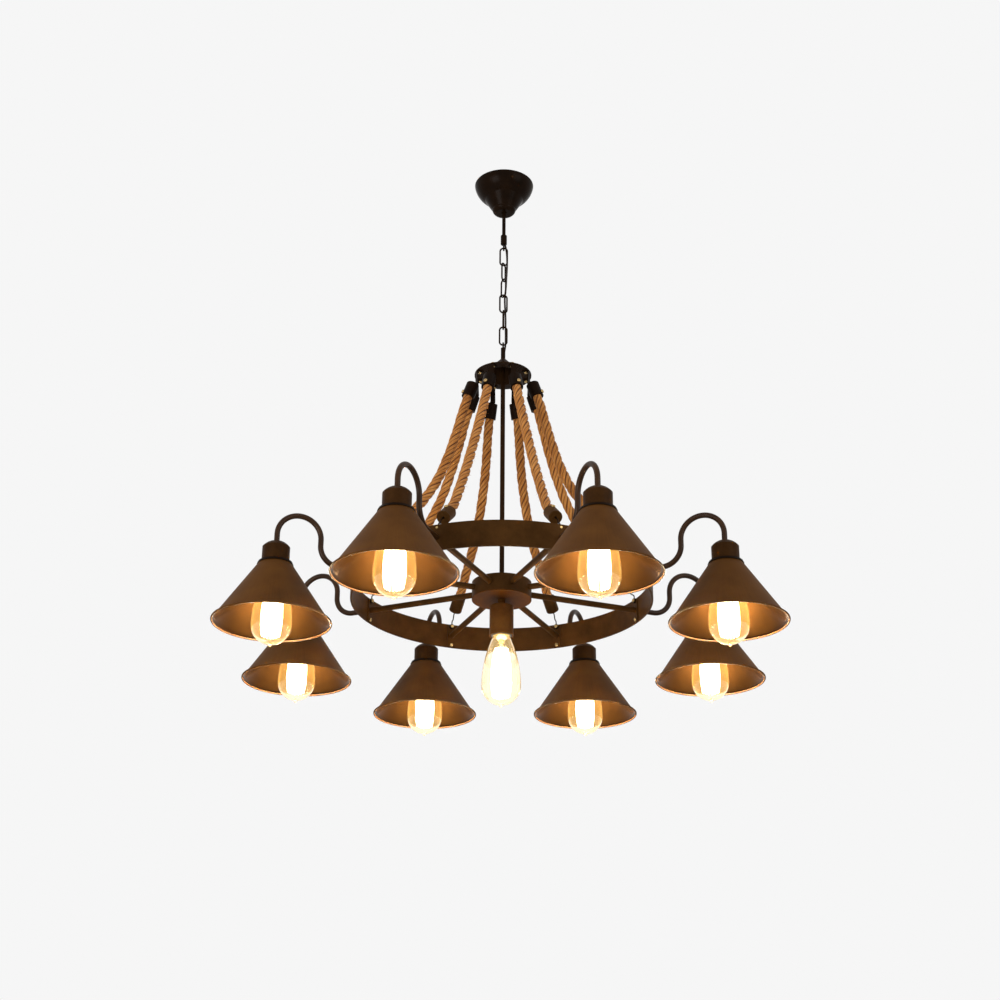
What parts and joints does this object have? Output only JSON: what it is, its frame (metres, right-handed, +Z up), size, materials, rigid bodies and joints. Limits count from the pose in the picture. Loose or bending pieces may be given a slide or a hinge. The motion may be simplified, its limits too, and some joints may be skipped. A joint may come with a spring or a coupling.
{
  "type": "rope chandelier",
  "caption": "Chain-hung wheel chandelier: a flat metal ring on spokes and sloping ropes carries goosenecks with cone shades and filament bulbs around a bare central bulb.",
  "frame": {"origin": "middle of the ceiling plane, between the bracket's two screw holes", "axes": "+Z up into the ceiling, along the chain; +X along the ceiling bracket; -Y towards the viewer of the picture"},
  "size_m": [0.897, 0.897, 1.0022],
  "materials": {
    "dark_bronze": "dark brown lacquer over steel, satin",
    "shade_bronze": "brown lacquer over spun steel, satin",
    "cover_bronze": "lighter brown lacquer",
    "bright_steel": "plain plated steel",
    "zinc_steel": "zinc plated",
    "black_bakelite": "dark phenolic",
    "white_block": "white moulded",
    "hemp_rope": "twisted hemp",
    "cord_sheath": "dark brown sheath",
    "lead_sheath": "insulated wire",
    "bulb_glass": "amber tinted clear glass"
  },
  "bodies": {
    "canopy": {"ceiling_bracket": "zinc_steel", "ceiling_cup": "dark_bronze", "canopy_stem": "dark_bronze", "canopy_nuts": "zinc_steel", "terminal_block": "white_block", "stem_eye": "dark_bronze", "power_cord": "cord_sheath"},
    "chain_link_1": {"chain_link_1": "dark_bronze"},
    "chain_link_2": {"chain_link_2": "dark_bronze"},
    "chain_link_3": {"chain_link_3": "dark_bronze"},
    "chain_link_4": {"chain_link_4": "dark_bronze"},
    "chain_link_5": {"chain_link_5": "dark_bronze"},
    "chain_link_6": {"chain_link_6": "dark_bronze"},
    "frame": {"frame_eye": "dark_bronze", "centre_tube": "dark_bronze", "crown_plate": "dark_bronze", "centre_nuts": "zinc_steel", "hub_drum": "dark_bronze", "hub_cover": "cover_bronze", "spokes": "dark_bronze", "ring_band": "dark_bronze", "ring_screws": "bright_steel", "rope_hangers": "dark_bronze", "hanger_screws": "bright_steel", "upper_ferrules": "dark_bronze", "lower_ferrules": "dark_bronze", "ferrule_screws": "bright_steel", "ropes": "hemp_rope", "rope_hooks": "bright_steel", "lamp_leads": "lead_sheath", "socket_caps": "dark_bronze", "lampholders": "black_bakelite", "shade_rings": "black_bakelite", "centre_socket_cup": "dark_bronze", "centre_nipple": "dark_bronze", "arm_1": "dark_bronze", "arm_2": "dark_bronze", "arm_3": "dark_bronze", "arm_4": "dark_bronze", "arm_5": "dark_bronze", "arm_6": "dark_bronze", "arm_7": "dark_bronze", "arm_8": "dark_bronze", "shade_1": "shade_bronze", "shade_2": "shade_bronze", "shade_3": "shade_bronze", "shade_4": "shade_bronze", "shade_5": "shade_bronze", "shade_6": "shade_bronze", "shade_7": "shade_bronze", "shade_8": "shade_bronze"},
    "bulb_1": {"bulb_1": "bulb_glass"},
    "bulb_2": {"bulb_2": "bulb_glass"},
    "bulb_3": {"bulb_3": "bulb_glass"},
    "bulb_4": {"bulb_4": "bulb_glass"},
    "bulb_5": {"bulb_5": "bulb_glass"},
    "bulb_6": {"bulb_6": "bulb_glass"},
    "bulb_7": {"bulb_7": "bulb_glass"},
    "bulb_8": {"bulb_8": "bulb_glass"},
    "bulb_9": {"bulb_9": "bulb_glass"}
  },
  "joints": [
    {"name": "chain_hinge_top", "type": "hinge", "parent": "canopy", "child": "chain_link_1", "pos_m": [0, 0, -0.1387], "axis": [0, 1, 0], "range_deg": [-15, 15], "deforming": ["power_cord"]},
    {"name": "chain_hinge_1", "type": "hinge", "parent": "chain_link_1", "child": "chain_link_2", "pos_m": [0, 0, -0.1717], "axis": [1, 0, 0], "range_deg": [-15, 15], "deforming": ["power_cord"]},
    {"name": "chain_hinge_2", "type": "hinge", "parent": "chain_link_2", "child": "chain_link_3", "pos_m": [0, 0, -0.2047], "axis": [0.454, 0.891, 0], "range_deg": [-15, 15], "deforming": ["power_cord"]},
    {"name": "chain_hinge_3", "type": "hinge", "parent": "chain_link_3", "child": "chain_link_4", "pos_m": [0, 0, -0.2377], "axis": [-0.6157, 0.788, 0], "range_deg": [-15, 15], "deforming": ["power_cord"]},
    {"name": "chain_hinge_4", "type": "hinge", "parent": "chain_link_4", "child": "chain_link_5", "pos_m": [0, 0, -0.2707], "axis": [-0.9781, -0.2079, 0], "range_deg": [-15, 15], "deforming": ["power_cord"]},
    {"name": "chain_hinge_5", "type": "hinge", "parent": "chain_link_5", "child": "chain_link_6", "pos_m": [0, 0, -0.3037], "axis": [0.0872, -0.9962, 0], "range_deg": [-15, 15], "deforming": ["power_cord"]},
    {"name": "chain_hinge_frame", "type": "hinge", "parent": "chain_link_6", "child": "frame", "pos_m": [0, 0, -0.3367], "axis": [1, 0, 0], "range_deg": [-15, 15], "deforming": ["power_cord"]},
    {"name": "bulb_1_unscrew", "type": "slide", "parent": "frame", "child": "bulb_1", "axis": [0, 0, -1], "range_m": [0, 0.03]},
    {"name": "bulb_2_unscrew", "type": "slide", "parent": "frame", "child": "bulb_2", "axis": [0, 0, -1], "range_m": [0, 0.03]},
    {"name": "bulb_3_unscrew", "type": "slide", "parent": "frame", "child": "bulb_3", "axis": [0, 0, -1], "range_m": [0, 0.03]},
    {"name": "bulb_4_unscrew", "type": "slide", "parent": "frame", "child": "bulb_4", "axis": [0, 0, -1], "range_m": [0, 0.03]},
    {"name": "bulb_5_unscrew", "type": "slide", "parent": "frame", "child": "bulb_5", "axis": [0, 0, -1], "range_m": [0, 0.03]},
    {"name": "bulb_6_unscrew", "type": "slide", "parent": "frame", "child": "bulb_6", "axis": [0, 0, -1], "range_m": [0, 0.03]},
    {"name": "bulb_7_unscrew", "type": "slide", "parent": "frame", "child": "bulb_7", "axis": [0, 0, -1], "range_m": [0, 0.03]},
    {"name": "bulb_8_unscrew", "type": "slide", "parent": "frame", "child": "bulb_8", "axis": [0, 0, -1], "range_m": [0, 0.03]},
    {"name": "bulb_9_unscrew", "type": "slide", "parent": "frame", "child": "bulb_9", "axis": [0, 0, -1], "range_m": [0, 0.03]}
  ]
}
